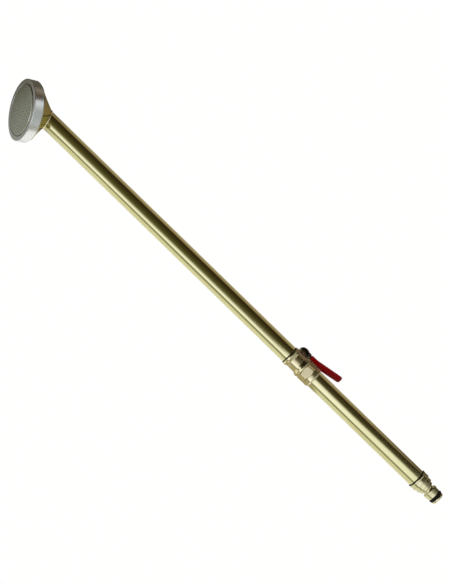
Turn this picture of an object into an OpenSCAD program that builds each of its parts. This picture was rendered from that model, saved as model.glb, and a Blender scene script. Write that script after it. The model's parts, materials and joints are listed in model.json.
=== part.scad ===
// Watering wand for a greenhouse or nursery. A straight brass lance carries a screw-on water
// rose at its bent head, a quarter-turn ball valve within thumb's reach, and a hose plug.
//
// Wand axes, in which every sub-part is drawn: the tube runs along X from the bend point, where
// the axes of the tube and the rose cross, to the hose plug at +X. The valve stem points along
// +Z and the rose looks away towards -X and -Z. lay_down() then lays the wand on level ground
// (Z = 0) on the three points that it rests on: the ring, the lever's tip and the plug's collar.

/* [Tubes] */
// Outside diameter of both tubes
tube_d = 20; // [19:0.5:21]
// Wall thickness of both tubes
tube_wall = 1; // [0.8:0.1:1.2]
// Bend point to the valve's first face
bend_to_valve = 365.5; // [200:0.5:800]
// Free length of the lower tube, from the valve to the plug's shoulder
lower_len = 152.5; // [80:0.5:300]

/* [Rose] */
// Angle between the tube and the axis of the rose
bend_angle = 45; // [35:1:55]
// Outside diameter of the screw ring
ring_d = 66.5; // [64:0.5:70]
// Depth of the screw ring
ring_depth = 10.5; // [10:0.5:13]
// Bend point to the front face of the screw ring
rose_reach = 23.6; // [22:0.1:30]
// Width of the ring's flat front face
ring_face_w = 5; // [4:0.25:5.5]
// Diameter of the raised field of the sieve plate
sieve_d = 54.8; // [50:0.2:55]
// Diameter of one spray hole
hole_d = 0.9; // [0.6:0.1:1.2]
// Distance between circles of spray holes
hole_pitch = 3.4; // [3:0.1:3.5]
// Number of circles of spray holes
hole_rings = 7; // [4:1:7]
// Distance from the bend point to the middle of the soldered seam
seam_offset = 7.9; // [6:0.1:10]

/* [Valve] */
// Valve's first face to the stem axis
stem_offset = 9.8; // [9.4:0.1:10.2]
// Length of the cast valve body
body_len = 20.7; // [20:0.1:22]
// Length of the hexagon on the end piece
hex_len = 9.5; // [8:0.5:12]
// Length of the round socket that holds the lower tube
socket_len = 4.7; // [4:0.1:8]
// Hexagon's width across flats
hex_af = 20; // [19.5:0.5:20]
// Turn of the hexagon about the tube, as it came to rest when it was screwed home
hex_turn = -10; // [-30:1:30]
// Radius of the valve body's waist
waist_r = 9.9; // [9.8:0.1:10.4]
// Radius of the valve body's mouth at the upper tube
mouth_r = 11.3; // [11:0.1:12]
// Radius of the valve body's shoulder at the hexagon
shoulder_r = 11.7; // [11.5:0.1:12.5]
// Diameter of the ball
ball_d = 13; // [12.8:0.1:13]
// Diameter of the waterway through the ball
waterway_d = 8; // [6:0.5:8]

/* [Lever] */
// Height of the middle of the lever plate above the tube axis
lever_h = 18.9; // [18.4:0.1:21]
// Thickness of the lever plate
lever_t = 1.6; // [1.5:0.1:2]
// Stem axis to the end of the sleeve
lever_len = 49.4; // [40:0.2:70]
// Stem axis to the start of the sleeve
sleeve_start = 8.8; // [8:0.2:12]
// Stem axis to the bend in the lever
lever_knee = 16.8; // [14:0.2:20]
// Rise of the lever beyond its bend
lever_rise = 14; // [5:0.5:20]
// Width of the lever plate at the stem
lever_w = 9.6; // [9:0.2:11]
// Radius of the lever plate's round tail
tail_r = 6.2; // [6.2:0.1:7]
// Width of the vinyl sleeve
sleeve_w = 9.4; // [9:0.1:12]
// Thickness of the vinyl sleeve
sleeve_t = 4; // [3.6:0.1:5]
// Quarter turn from open to closed, which the two stop tabs allow
lever_travel = 90; // [90:1:92]

/* [Hose plug] */
// Diameter of the plug's collar at the tube
collar_d = 22; // [21.5:0.1:23]
// Diameter of the locking collar that a quick connector's claws hold
lock_d = 16.5; // [16:0.1:17]
// Diameter of the plug's barrel
barrel_d = 15.5; // [15:0.1:15.8]
// Diameter of the neck behind the locking collar
neck_d = 12.3; // [12:0.1:13]
// Diameter of the waterway through the plug
plug_bore_d = 9; // [8:0.5:9]
// Thickness of the O-ring, from its inside to its outside
o_ring_t = 2.9; // [2.4:0.1:3]
// Width of the O-ring along the plug
o_ring_w = 3.6; // [2.4:0.1:3.7]

/* [Lying pose] */
// Turn about the tube that brings the lever's tip and the ring to the ground
lay_roll = 113.3; // [0:0.05:180]
// Tilt of the tube that brings the plug's collar to the ground
lay_pitch = 1.71; // [0:0.01:5]
// Place of the bend point along the ground
lay_x = -272.32; // [-600:0.01:600]
// Place of the bend point across the ground
lay_y = 6.37; // [-100:0.01:100]
// Height of the bend point over the ground
lay_z = 27.6; // [0:0.01:100]

/* [Hidden] */
$fn = 96;

brass = "#c8b464";
cast_brass = "#d8c9a0";
zinc = "#a8a49a";
fit_gap = 0.05;             // running fits
seat_gap = 0.02;            // pushed-together fits of one body
tube_r = tube_d / 2;
bore_r = tube_r - tube_wall;

// Rose, with heights measured along its axis from the bend point
ring_r = ring_d / 2;
ring_front = rose_reach;
ring_back = rose_reach - ring_depth;
lip_t = 2.3;
lip_r = ring_r - ring_face_w;
thread_r = ring_r - 3.25;
sieve_r = sieve_d / 2;
sieve_t = 0.8;
sieve_edge_r = 1.1;
sieve_top = ring_front + 0.7;
flange_top = ring_front - lip_t - fit_gap;
flange_r = thread_r - 0.3;
gasket_t = 1.5;
skirt_top = flange_top - sieve_t - fit_gap - gasket_t;
skirt_r = thread_r - 0.08;
skirt_wall = 2;
bead_r = ring_r - 1.6;
bead_t = 1.2;
bead_top = ring_back - 0.6;
cone_base = bead_top - bead_t;
cone_r = bead_r - 1.2;
shell_t = 1;

// Valve, with places measured along the tube from its first face
washer_w = 1;               // flat seals at the ends of the tubes
spigot_len = 10;
spigot_r = bore_r - fit_gap;
ball_r = ball_d / 2;
waterway_r = waterway_d / 2;
seat_len = 4;
seat_back = 7.3;            // ball's centre to a seat's far face
seat_r = 7;
port_r = waterway_r + 0.1;
end_thread_r = 8.4;
end_thread_len = 6.5;
hex_start = body_len;
socket_start = hex_start + hex_len;
valve_len = socket_start + socket_len;
socket_r = tube_r + 1.4;
socket_depth = socket_len - 0.4;
solder_len = 1.3;
solder_t = 0.6;

// Stem, with heights measured from the tube axis
stem_r = 2.5;
tang_t = 2;
tang_bottom = 5;
tang_w = 5;
stem_shoulder_r = 3.2;
stem_shoulder_z = 6.9;
washer_z = 8.1;
washer_t = 0.6;
neck_top = 10.2;
packing_t = 2.2;
packing_r = 3.7;
boss_r = 4.9;
boss_top = 13;
gland_af = 8;
gland_top = 16.8;
plate_bottom = lever_h - lever_t / 2;
plate_top = lever_h + lever_t / 2;
nut_af = 8;
nut_h = 2;
nut_collar_h = 0.8;
nut_turn = 12;
nut_recess_r = nut_af / 2 - 1;
nut_recess_z = plate_top + nut_h - 0.5;
nut_recess_top = plate_top + nut_h + nut_collar_h - 0.2;
stem_top = plate_top + nut_h + nut_collar_h;
stem_flat = 1.9;            // half the width across the stem's two flats

// Stops: the lug is cast on the body, and the two tabs are bent down from the lever plate
tab_w = 1.6;
tab_t = 1.2;
tab_ring_r = tail_r - tab_t / 2 - 0.1;
tab_bottom = 14;
lug_w = 2.2;
lug_len = 1.4;
lug_base = 7;
lug_top = 15.8;
open_tab_angle = -28;
stop_gap = 0.3;             // between a tab and the lug at the end of the travel
stop_gap_angle = asin((lug_w / 2 + tab_w / 2 + stop_gap) / tab_ring_r);
lug_angle = open_tab_angle - lever_travel - stop_gap_angle;
rear_tab_angle = lug_angle - stop_gap_angle;

// Places along the tube
valve_x = bend_to_valve;
stem_x = valve_x + stem_offset;
valve_end_x = valve_x + valve_len;
plug_x = valve_end_x + lower_len;

// Hose plug, with places measured along the tube from its shoulder
plug_collar_end = 6.8;
plug_step_end = 11.9;
plug_step_r = 9.6;
plug_guide_end = 14.9;
plug_guide_r = 8;
lock_start = 18;
lock_end = 21;
groove_start = 25.2;
groove_end = 29.1;
plug_end = 31.6;
tip_r = 7.3;
o_ring_r = 8.1 - o_ring_t / 2;

// Wand axes to ground axes
module lay_down() {
    translate([lay_x, lay_y, lay_z]) rotate([0, lay_pitch, 0]) rotate([-lay_roll, 0, 0]) children();
}

// Draws a child whose Z axis is the tube's axis, starting at place x
module along_tube(x = 0) {
    translate([x, 0, 0]) rotate([0, 90, 0]) children();
}

// Draws a child whose Z axis is the rose's axis
module along_rose() {
    rotate([0, -90 - bend_angle, 0]) children();
}

// Draws a child whose Z axis is the valve stem's axis
module along_stem() {
    translate([stem_x, 0, 0]) children();
}

// A ring or disc around Z between heights z0 and z1
module ring(outer, inner, z0, z1) {
    difference() {
        translate([0, 0, z0]) cylinder(r = outer, h = z1 - z0);
        if (inner > 0) translate([0, 0, z0 - 1]) cylinder(r = inner, h = z1 - z0 + 2);
    }
}

// A hexagonal prism around Z with its corners turned off at the chosen ends
module hexagon(af, z0, z1, chamfer) {
    corner = af / sqrt(3);
    intersection() {
        translate([0, 0, z0]) cylinder(r = corner, h = z1 - z0, $fn = 6);
        rotate_extrude() polygon([
            [0, z0], [af / 2 - 0.1, z0], [corner + 0.1, z0 + chamfer],
            [corner + 0.1, z1 - chamfer], [af / 2 - 0.1, z1], [0, z1]
        ]);
    }
}

// The half space on the rose's side of the soldered seam, as a large block
module beyond_seam() {
    size = 200;
    translate([seam_offset, 0, 0]) rotate([0, -90 - bend_angle / 2, 0])
        translate([-size / 2, -size / 2, 0]) cube(size);
}

// Turns a child end for end about the seam's own plane
module mirror_at_seam() {
    normal = [cos(bend_angle / 2), 0, sin(bend_angle / 2)];
    translate([seam_offset, 0, 0]) mirror(normal) translate([-seam_offset, 0, 0]) children();
}

// The oval in which the seam cuts a round tube of radius r
module seam_oval(r) {
    translate([seam_offset, 0, 0]) rotate([0, -90 - bend_angle / 2, 0])
        linear_extrude(0.02) scale([1 / cos(bend_angle / 2), 1]) circle(r, $fn = 72);
}

// Slanting cone from a circle behind the ring to the seam
module funnel_cone(base_r, neck_r, base_z) {
    hull() {
        along_rose() translate([0, 0, base_z - 0.02]) cylinder(r = base_r, h = 0.02, $fn = 72);
        seam_oval(neck_r);
    }
}

module rose_ring() {
    edge = 0.7;
    color("#c4c4c2") lay_down() along_rose() rotate_extrude($fn = 160) polygon([
        [lip_r, ring_front - 0.4], [lip_r + 0.4, ring_front], [ring_r - edge, ring_front],
        [ring_r, ring_front - edge], [ring_r, ring_back + edge], [ring_r - edge, ring_back],
        [thread_r, ring_back], [thread_r, ring_front - lip_t], [lip_r, ring_front - lip_t]
    ]);
}

module sieve_plate() {
    inner_r = sieve_r - sieve_t;
    edge = [for (a = [90 : -30 : 0])
        [sieve_r - sieve_edge_r * (1 - cos(a)), sieve_top - sieve_edge_r * (1 - sin(a))]];
    color("#8f8b80") lay_down() along_rose() difference() {
        rotate_extrude($fn = 160) polygon(concat([[0, sieve_top]], edge, [
            [sieve_r, flange_top], [flange_r, flange_top], [flange_r, flange_top - sieve_t],
            [inner_r, flange_top - sieve_t], [inner_r, sieve_top - sieve_edge_r],
            [inner_r - 0.3, sieve_top - sieve_t], [0, sieve_top - sieve_t]
        ]));
        for (k = [0 : hole_rings], i = [0 : max(0, 6 * k - 1)])
            rotate(k == 0 ? 0 : 360 * i / (6 * k)) translate([k * hole_pitch, 0, sieve_top - 2])
                cylinder(d = hole_d, h = 3, $fn = 16);
    }
}

module rose_gasket() {
    color("#222222") lay_down() along_rose()
        ring(skirt_r - 0.3, sieve_r - sieve_t - 0.2, skirt_top, skirt_top + gasket_t);
}

module rose_funnel() {
    color(brass) lay_down() union() {
        along_rose() rotate_extrude($fn = 160) polygon([
            [skirt_r - skirt_wall, cone_base], [bead_r - 0.3, cone_base],
            [bead_r, cone_base + 0.3], [bead_r, bead_top - 0.3], [bead_r - 0.3, bead_top],
            [skirt_r, bead_top], [skirt_r, skirt_top], [skirt_r - skirt_wall, skirt_top]
        ]);
        difference() {
            funnel_cone(cone_r, tube_r, cone_base + 0.5);
            funnel_cone(cone_r - shell_t, tube_r - shell_t, cone_base + 0.55);
        }
    }
}

module head_solder() {
    color("#d9cf9a") lay_down() difference() {
        along_tube() ring(tube_r + solder_t, tube_r + seat_gap, -tube_d, 2 * tube_d);
        beyond_seam();
        translate([solder_len, 0, 0]) mirror_at_seam() beyond_seam();
    }
}

module upper_tube() {
    color(brass) lay_down() difference() {
        along_tube() ring(tube_r, bore_r, -tube_d, valve_x - washer_w);
        beyond_seam();
    }
}

// A flat seal between a tube's end and the face at place x
module end_seal(outer, x) {
    along_tube(x) ring(outer, spigot_r + seat_gap, -washer_w + seat_gap, -seat_gap);
}

module valve_seal() {
    color("#202020") lay_down() end_seal(tube_r + 0.7, valve_x);
}

module plug_seal() {
    color("#202020") lay_down() end_seal(tube_r + 1.1, plug_x);
}

module valve_body() {
    lip = 0.9;
    outline = [
        [spigot_r, -spigot_len], [spigot_r, 0],
        [mouth_r - lip, 0], [mouth_r - 0.2, 0.4], [mouth_r, 1.2], [mouth_r, 2.4],
        [mouth_r - 0.4, 3.3], [waist_r + 0.3, 4.4], [waist_r, 5.6],
        [waist_r, 14.6], [waist_r + 0.4, 15.8], [shoulder_r - 0.4, 17.4], [shoulder_r, 18.3],
        [shoulder_r, 19.6], [shoulder_r - 0.3, 20.3], [shoulder_r - lip, body_len]
    ];
    ball_u = stem_offset;
    cavity = [
        [end_thread_r, body_len], [end_thread_r, body_len - end_thread_len],
        [seat_r, body_len - end_thread_len], [seat_r, ball_u - seat_back],
        [port_r, ball_u - seat_back], [port_r, -spigot_len]
    ];
    color(cast_brass) lay_down() difference() {
        union() {
            along_tube(valve_x) rotate_extrude() polygon(concat(outline, cavity));
            along_stem() difference() {
                cylinder(r = boss_r, h = boss_top);
                along_tube(-boss_r - 1) cylinder(r = end_thread_r + 0.2, h = 2 * boss_r + 2);
            }
            along_stem() rotate(lug_angle) translate([tail_r - lug_len, -lug_w / 2, lug_base])
                cube([lug_len, lug_w, lug_top - lug_base]);
        }
        along_stem() ring(stem_r + fit_gap, 0, 0, boss_top + 1);
        along_stem() ring(stem_shoulder_r + fit_gap, 0, 0, washer_z + washer_t);
        along_stem() ring(packing_r + seat_gap, 0, neck_top, boss_top + 1);
    }
}

module valve_end_piece() {
    bore_profile = [
        [end_thread_r - seat_gap, body_len], [end_thread_r - seat_gap, body_len - end_thread_len + 0.1],
        [seat_r, body_len - end_thread_len + 0.1], [seat_r, stem_offset + seat_back],
        [port_r, stem_offset + seat_back], [port_r, valve_len - socket_depth - 1],
        [tube_r - 1.4, valve_len - socket_depth - 0.5], [tube_r - 1.4, valve_len - socket_depth],
        [tube_r + seat_gap, valve_len - socket_depth], [tube_r + seat_gap, valve_len],
        [socket_r - 0.4, valve_len], [socket_r, valve_len - 0.5], [socket_r, socket_start],
        [hex_af / 2 - 0.2, socket_start], [hex_af / 2 - 0.2, body_len]
    ];
    color(cast_brass) lay_down() along_tube(valve_x) union() {
        rotate_extrude() polygon(bore_profile);
        difference() {
            rotate(hex_turn) hexagon(hex_af, hex_start, socket_start, 1);
            ring(tube_r - 1, 0, 0, valve_len);
            ring(tube_r + seat_gap, 0, valve_len - socket_depth, valve_len + 1);
        }
    }
}

module valve_ball() {
    slot_w = tang_t + 0.2;
    color("#d8d8d4") lay_down() along_stem() difference() {
        sphere(r = ball_r);
        along_tube(-ball_r - 1) cylinder(r = waterway_r, h = ball_d + 2);
        translate([-ball_r, -slot_w / 2, tang_bottom - 0.1]) cube([ball_d, slot_w, ball_r]);
    }
}

// One sealing seat, on the side of the ball that faces along +X
module seat() {
    difference() {
        along_tube() ring(seat_r - seat_gap, port_r, seat_back - seat_len, seat_back - seat_gap);
        sphere(r = ball_r + 0.03);
    }
}

module seat_head_side() {
    color("#f2f2ee") lay_down() along_stem() mirror([1, 0, 0]) seat();
}

module seat_hose_side() {
    color("#f2f2ee") lay_down() along_stem() seat();
}

module valve_stem() {
    color(cast_brass) lay_down() along_stem() union() {
        translate([-tang_w / 2, -tang_t / 2, tang_bottom])
            cube([tang_w, tang_t, stem_shoulder_z + 0.2 - tang_bottom]);
        ring(stem_shoulder_r, 0, stem_shoulder_z, washer_z - fit_gap);
        ring(stem_r, 0, washer_z - 0.1, plate_bottom);
        intersection() {
            ring(stem_r, 0, plate_bottom - 0.1, stem_top);
            translate([-stem_r, -stem_flat, plate_bottom - 0.1]) cube([2 * stem_r, 2 * stem_flat, 10]);
        }
    }
}

module thrust_washer() {
    color("#f2f2ee") lay_down() along_stem()
        ring(stem_shoulder_r, stem_r + fit_gap, washer_z, washer_z + washer_t - seat_gap);
}

module stem_packing() {
    color("#e8e6dc") lay_down() along_stem()
        ring(packing_r, stem_r + fit_gap, neck_top + seat_gap, neck_top + packing_t);
}

module gland_nut() {
    color(cast_brass) lay_down() along_stem() difference() {
        union() {
            ring(packing_r - fit_gap, 0, neck_top + packing_t + seat_gap, boss_top + 0.2);
            hexagon(gland_af, boss_top + seat_gap, gland_top, 0.6);
        }
        ring(stem_r + fit_gap, 0, 0, gland_top + 1);
    }
}

// Side view of the lever plate, as a strip of thickness t that bends up at the knee
module lever_side(t, x0, x1) {
    rise = tan(lever_rise);
    mid = [[x0, 0], [lever_knee, 0], [x1, (x1 - lever_knee) * rise]];
    across = t / 2 * [
        [0, 1], [-tan(lever_rise / 2), 1], [-sin(lever_rise), cos(lever_rise)]
    ];
    polygon(concat(mid + across, [for (i = [2 : -1 : 0]) mid[i] - across[i]]));
}

// The lever plate's outline from above
module lever_outline() {
    grip_w = sleeve_w - 2.4;
    grip_end = lever_len - 1.6;
    difference() {
        union() {
            circle(tail_r);
            polygon([
                [0, -lever_w / 2], [sleeve_start - 2, -lever_w / 2], [sleeve_start - 0.3, -grip_w / 2],
                [grip_end - grip_w / 2, -grip_w / 2], [grip_end - grip_w / 2, grip_w / 2],
                [sleeve_start - 0.3, grip_w / 2], [sleeve_start - 2, lever_w / 2], [0, lever_w / 2]
            ]);
            translate([grip_end - grip_w / 2, 0]) circle(grip_w / 2);
        }
        intersection() {
            circle(stem_r + seat_gap);
            square([3 * stem_r, 2 * (stem_flat + seat_gap)], center = true);
        }
    }
}

module lever_metal() {
    intersection() {
        translate([0, 50, lever_h]) rotate([90, 0, 0])
            linear_extrude(100) lever_side(lever_t, -20, lever_len + 5);
        translate([0, 0, plate_bottom - 5]) linear_extrude(40) lever_outline();
    }
}

module lever_plate() {
    color(zinc) lay_down() along_stem() union() {
        lever_metal();
        for (a = [open_tab_angle, rear_tab_angle])
            rotate(a) translate([tab_ring_r - tab_t / 2, -tab_w / 2, tab_bottom])
                cube([tab_t, tab_w, plate_bottom + 0.1 - tab_bottom]);
    }
}

module lever_nut() {
    color(zinc) lay_down() along_stem() difference() {
        union() {
            rotate(nut_turn) hexagon(nut_af, plate_top, plate_top + nut_h, 0.5);
            ring(nut_af / 2 - 0.4, 0, plate_top + nut_h - 0.2, plate_top + nut_h + nut_collar_h);
        }
        ring(stem_r + seat_gap, 0, 0, stem_top + 1);
        ring(nut_recess_r, 0, nut_recess_z, nut_recess_top);
    }
}

module nut_insert() {
    color("#e9e6da") lay_down() along_stem() ring(
        nut_recess_r - seat_gap, stem_r + seat_gap, nut_recess_z + seat_gap, nut_recess_top - seat_gap);
}

module lever_sleeve() {
    edge_r = sleeve_t / 2;
    half_w = sleeve_w / 2 - edge_r;
    tip_x = lever_len - edge_r;
    tip_z = lever_h + (tip_x - lever_knee) * tan(lever_rise);
    color("#8c0f16") lay_down() along_stem() difference() {
        union() {
            hull() for (y = [-half_w, half_w]) {
                translate([sleeve_start, y, lever_h]) rotate([0, 90, 0])
                    cylinder(r = edge_r, h = 0.1, $fn = 32);
                translate([lever_knee, y, lever_h]) sphere(r = edge_r, $fn = 32);
            }
            hull() for (y = [-half_w, half_w]) {
                translate([lever_knee, y, lever_h]) sphere(r = edge_r, $fn = 32);
                translate([tip_x, y, tip_z]) sphere(r = edge_r, $fn = 32);
            }
        }
        lever_metal();
    }
}

module valve_solder() {
    color("#d9cf9a") lay_down() along_tube(valve_end_x) rotate_extrude() polygon([
        [tube_r + seat_gap, seat_gap], [socket_r - 0.45, seat_gap],
        [tube_r + 0.25, solder_len / 2], [tube_r + seat_gap, solder_len]
    ]);
}

module lower_tube() {
    color(brass) lay_down() along_tube()
        ring(tube_r, bore_r, valve_end_x - socket_depth + seat_gap, plug_x - washer_w);
}

module hose_plug() {
    collar_r = collar_d / 2;
    lock_r = lock_d / 2;
    barrel_r = barrel_d / 2;
    plug_bore_r = plug_bore_d / 2;
    groove_r = o_ring_r - o_ring_t / 2 - 0.05;
    color(brass) lay_down() along_tube(plug_x) rotate_extrude() polygon([
        [plug_bore_r, -spigot_len], [spigot_r, -spigot_len], [spigot_r, 0],
        [collar_r - 0.4, 0], [collar_r, 0.4], [collar_r, 1.8], [collar_r - 0.15, 2.1],
        [collar_r - 0.1, plug_collar_end - 0.4], [collar_r - 0.5, plug_collar_end],
        [plug_step_r, plug_collar_end], [plug_step_r, plug_step_end - 0.4],
        [plug_step_r - 0.4, plug_step_end], [plug_guide_r, plug_step_end],
        [plug_guide_r, plug_guide_end - 0.3], [plug_guide_r - 0.3, plug_guide_end],
        [neck_d / 2 + 0.5, plug_guide_end], [neck_d / 2, plug_guide_end + 0.5],
        [neck_d / 2, lock_start - 0.2], [lock_r - 0.4, lock_start], [lock_r, lock_start + 0.4],
        [lock_r, lock_end - 0.2], [barrel_r, lock_end], [barrel_r, groove_start],
        [groove_r, groove_start], [groove_r, groove_end], [tip_r, groove_end],
        [tip_r, plug_end - 0.8], [tip_r - 0.8, plug_end], [plug_bore_r, plug_end]
    ]);
}

module plug_o_ring() {
    section = [for (a = [0 : 15 : 345]) [o_ring_r + o_ring_t / 2 * cos(a), o_ring_w / 2 * sin(a)]];
    color("#181818") lay_down() along_tube(plug_x + (groove_start + groove_end) / 2)
        rotate_extrude() polygon(section);
}

rose_ring();
sieve_plate();
rose_gasket();
rose_funnel();
head_solder();
upper_tube();
valve_seal();
valve_body();
valve_end_piece();
valve_ball();
seat_head_side();
seat_hose_side();
valve_stem();
thrust_washer();
stem_packing();
gland_nut();
lever_plate();
lever_nut();
nut_insert();
lever_sleeve();
valve_solder();
lower_tube();
plug_seal();
hose_plug();
plug_o_ring();
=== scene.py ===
"""Looks of a brass watering wand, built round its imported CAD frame.

Every piece is drawn in its own axes, in millimetres, with Z along whatever it was turned or cut
about: the tube, the rose or the valve stem. place_piece() then puts those axes into the row frame.
"""

import json
import math

import bmesh
import bpy
from mathutils import Matrix, Quaternion, Vector
from mathutils.geometry import delaunay_2d_cdt


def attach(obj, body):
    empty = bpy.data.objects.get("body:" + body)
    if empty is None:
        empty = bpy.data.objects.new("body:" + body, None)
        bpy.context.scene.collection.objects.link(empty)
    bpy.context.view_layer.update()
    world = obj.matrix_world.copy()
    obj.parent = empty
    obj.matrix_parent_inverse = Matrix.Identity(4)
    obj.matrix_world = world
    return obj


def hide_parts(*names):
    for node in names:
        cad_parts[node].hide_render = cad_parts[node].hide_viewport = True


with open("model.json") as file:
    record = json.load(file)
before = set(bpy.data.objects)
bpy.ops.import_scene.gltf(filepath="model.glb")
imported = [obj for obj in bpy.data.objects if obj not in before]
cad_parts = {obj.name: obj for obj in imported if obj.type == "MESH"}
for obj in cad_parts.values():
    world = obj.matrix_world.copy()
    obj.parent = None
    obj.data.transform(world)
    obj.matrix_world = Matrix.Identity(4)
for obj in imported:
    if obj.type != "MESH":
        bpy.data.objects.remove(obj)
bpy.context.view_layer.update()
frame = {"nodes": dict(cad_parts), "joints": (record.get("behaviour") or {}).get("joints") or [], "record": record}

MM = 0.001
MICRON = 0.000001
FINE = 192  # columns round a turned part

# Sizes of the CAD model, in millimetres. Places along the tube are from its bend point.
TUBE_R = 10
BORE_R = 9
SEAL_T = 1
VALVE_X = 365.5
STEM_X = 375.3
VALVE_END_X = 400.4
PLUG_X = 552.9
SEAM_X = 7.9
BEND = math.radians(45)

# Rose, with heights along its axis from the bend point
RING_R = 33.25
RING_FRONT = 23.6
RING_BACK = 13.1
LIP_R = 28.25
LIP_T = 2.3
THREAD_R = 30
THREAD_PITCH = 1.5
THREAD_DEPTH = 0.6
THREAD_RUN_OUT = 0.9
SIEVE_R = 27.4
SIEVE_TOP = 24.3
SIEVE_T = 0.8
FLANGE_R = 29.7
FLANGE_TOP = 21.25
SKIRT_R = 29.92
SKIRT_IN_R = 27.92
SKIRT_TOP = 18.9
BEAD_R = 31.65
BEAD_TOP = 12.5
CONE_BASE = 11.3
CONE_R = 30.45

# Spray holes
HOLE_R = 0.45
HOLE_STEP = 3.4
HOLE_CIRCLES = 7

# Valve, with lengths from its start at VALVE_X
HEX_START = 20.7
HEX_END = 30.2
HEX_FLAT = 10
VALVE_LEN = 34.9
SOCKET_R = 11.4
SOCKET_DEPTH = 4.3
PORT_R = 4.1

# Parts on the stem, with heights above the tube's axis and lengths from the stem's
GLAND_BASE = 13.02
GLAND_TOP = 16.8
GLAND_FLAT = 4
PLATE_TOP = 19.7
NUT_FLAT = 4
LEVER_H = 18.9
LEVER_KNEE = 16.8
LEVER_RISE = math.radians(14)
SLEEVE_START = 8.8
SLEEVE_END = 49.4

O_RING_X = 27.15  # from PLUG_X

# The wand's axes in the row frame, from the lever's joint and the plug's mount
lever_turn = next(j for j in frame["joints"] if j["name"] == "lever_turn")
along = Vector(frame["record"]["mounts"][0]["axis"]).normalized()
upward = -Vector(lever_turn["axis"]).normalized()
across = upward.cross(along).normalized()
WAND = Matrix((along, across, upward)).transposed().to_4x4()
WAND.translation = Vector(lever_turn["pos_m"]) - along * STEM_X * MM


def tube_axes(x=0.0):
    """Axes with Z along the tube, from place x on it."""
    return Matrix.Translation((x, 0, 0)) @ Matrix.Rotation(math.radians(90), 4, "Y")


TUBE = tube_axes()
ROSE = Matrix.Rotation(math.radians(-90) - BEND, 4, "Y")
STEM = Matrix.Translation((STEM_X, 0, 0))


def to_row(axes):
    """Matrix from a piece's own axes, in metres, to the row frame."""
    local = axes.copy()
    local.translation = local.translation * MM
    return WAND @ local


# ---------------------------------------------------------------- materials
class Graph:
    """A node tree, with a short call for each kind of node used here.

    A value given to a call is either another node's output or a constant."""

    def __init__(self, tree):
        self.tree = tree

    def add(self, kind, **settings):
        """A new shader node with these settings."""
        node = self.tree.nodes.new("ShaderNode" + kind)
        for name, setting in settings.items():
            setattr(node, name, setting)
        return node

    def put(self, socket, value):
        """Links a socket to an output, or sets its constant."""
        if isinstance(value, bpy.types.NodeSocket):
            self.tree.links.new(value, socket)
        else:
            socket.default_value = value

    def split(self, vector):
        """The X, Y and Z outputs of a vector."""
        node = self.add("SeparateXYZ")
        self.put(node.inputs["Vector"], vector)
        return node.outputs

    def maths(self, operation, *values):
        """The result of one Math node."""
        node = self.add("Math", operation=operation)
        for socket, value in zip(node.inputs, values):
            self.put(socket, value)
        return node.outputs["Value"]

    def product(self, first, second):
        return self.maths("MULTIPLY", first, second)

    def total(self, first, second):
        return self.maths("ADD", first, second)

    def map_range(self, value, low, high, out_low=0, out_high=1, smooth=False):
        """A value mapped from one range to another, and held at its ends."""
        node = self.add("MapRange")
        if smooth:
            node.interpolation_type = "SMOOTHSTEP"
        limits = {"From Min": low, "From Max": high, "To Min": out_low, "To Max": out_high}
        for name, limit in limits.items():
            node.inputs[name].default_value = limit
        self.put(node.inputs["Value"], value)
        return node.outputs["Result"]

    def step(self, value, band):
        """Smoothly from 0 at one end of a band to 1 at the other."""
        return self.map_range(value, *band, smooth=True)

    def mix(self, amount, first, second):
        """One colour to another by an amount from 0 to 1."""
        node = self.add("Mix", data_type="RGBA")
        self.put(node.inputs["Factor"], amount)
        for name, colour in (("A", first), ("B", second)):
            socket = [s for s in node.inputs if s.name == name and s.type == "RGBA"][0]
            self.put(socket, (*colour, 1) if isinstance(colour, tuple) else colour)
        return [s for s in node.outputs if s.type == "RGBA"][0]

    def scaled(self, vector, factor):
        """A vector or colour times a factor."""
        node = self.add("VectorMath", operation="SCALE")
        self.put(node.inputs[0], vector)
        self.put(node.inputs["Scale"], factor)
        return node.outputs["Vector"]

    def noise(self, coords, scale, detail=3.0, rough=0.55):
        """Noise in steps per metre, the same in all directions or by (x, y, z)."""
        mapping = self.add("Mapping")
        mapping.inputs["Scale"].default_value = scale if isinstance(scale, tuple) else (scale,) * 3
        self.put(mapping.inputs["Vector"], coords)
        noise = self.add("TexNoise")
        noise.inputs["Scale"].default_value = 1
        noise.inputs["Detail"].default_value = detail
        noise.inputs["Roughness"].default_value = rough
        self.put(noise.inputs["Vector"], mapping.outputs["Vector"])
        return noise.outputs["Fac"]

    def bump(self, height, depth, below=None):
        """A bump whose depth is in micrometres, over another one if given."""
        node = self.add("Bump")
        node.inputs["Strength"].default_value = 1
        node.inputs["Distance"].default_value = depth * MICRON
        self.put(node.inputs["Height"], height)
        if below is not None:
            self.put(node.inputs["Normal"], below)
        return node.outputs["Normal"]

    def axis_coords(self, axes):
        """Coordinates along the given axes, in metres."""
        back = to_row(axes).inverted()
        own = self.add("Mapping")
        own.inputs["Location"].default_value = back.translation
        own.inputs["Rotation"].default_value = back.to_euler()
        self.put(own.inputs["Vector"], self.add("TexCoord").outputs["Object"])
        return own.outputs["Vector"]

    def ring_coords(self, coords):
        """The same coordinates as (distance from the axis, 0, height), which draw tool rings."""
        x, y, z = self.split(coords)
        flat = self.add("CombineXYZ")
        self.put(flat.inputs["X"], x)
        self.put(flat.inputs["Y"], y)
        length = self.add("VectorMath", operation="LENGTH")
        self.put(length.inputs[0], flat.outputs["Vector"])
        rings = self.add("CombineXYZ")
        self.put(rings.inputs["X"], length.outputs["Value"])
        self.put(rings.inputs["Z"], z)
        return rings.outputs["Vector"]


# Parts of a noise's range: the middle, which holds most of it, and the peaks that make specks
TONE_BAND = (0.35, 0.65)
SKIN_BAND = (0.3, 0.7)
SPECK_BAND = (0.62, 0.72)

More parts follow.
